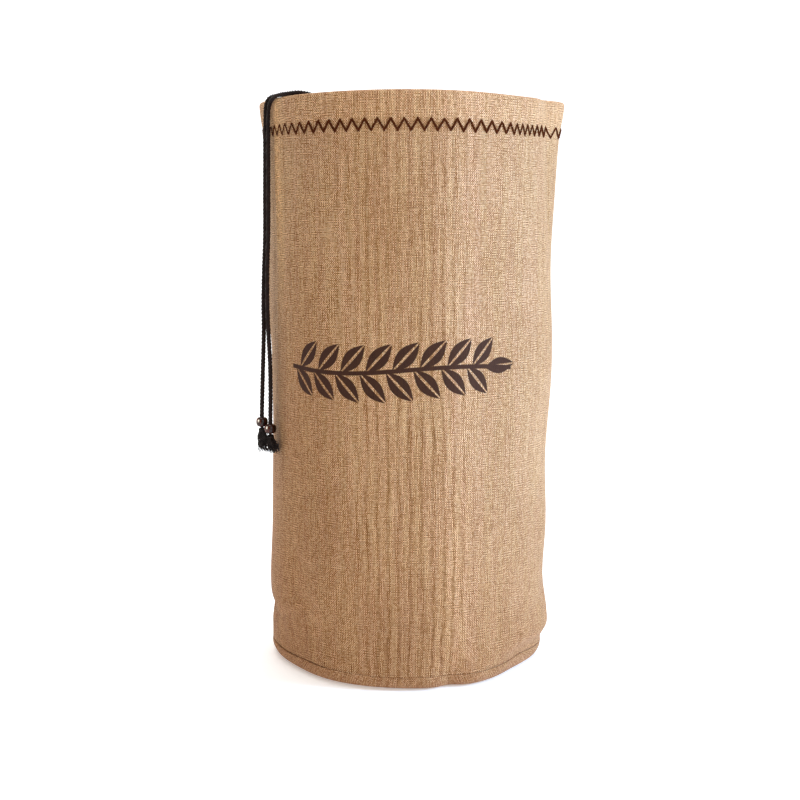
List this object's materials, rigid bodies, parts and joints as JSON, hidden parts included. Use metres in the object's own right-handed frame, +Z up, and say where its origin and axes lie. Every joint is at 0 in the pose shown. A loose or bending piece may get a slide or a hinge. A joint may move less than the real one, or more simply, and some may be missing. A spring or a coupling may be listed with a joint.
{
  "type": "drawstring food storage bag",
  "caption": "Tall round-bottomed food storage bag of coarse tan cloth, open at the top, with a zigzag-stitched hem and a beaded drawstring hung over its rim.",
  "frame": {"origin": "on the floor, under the middle of the bag's box (drawstring ends left out)", "axes": "+Z up, the front with the printed sprig faces -Y, the drawstring ends hang at -X"},
  "size_m": [0.3114, 0.2949, 0.5749],
  "materials": {
    "wall_cloth": "coarse weave, matte",
    "base_cloth": "coarse weave, matte",
    "cord": "twisted, matte",
    "bead": "gloss varnish"
  },
  "bodies": {
    "root": {"panel_front": "wall_cloth", "panel_back": "wall_cloth", "base": "base_cloth", "drawstring_in_hem": "cord", "strand_left": "cord", "strand_right": "cord", "bead_left": "bead", "bead_right": "bead", "tuft_left": "cord", "tuft_right": "cord"}
  },
  "joints": []
}
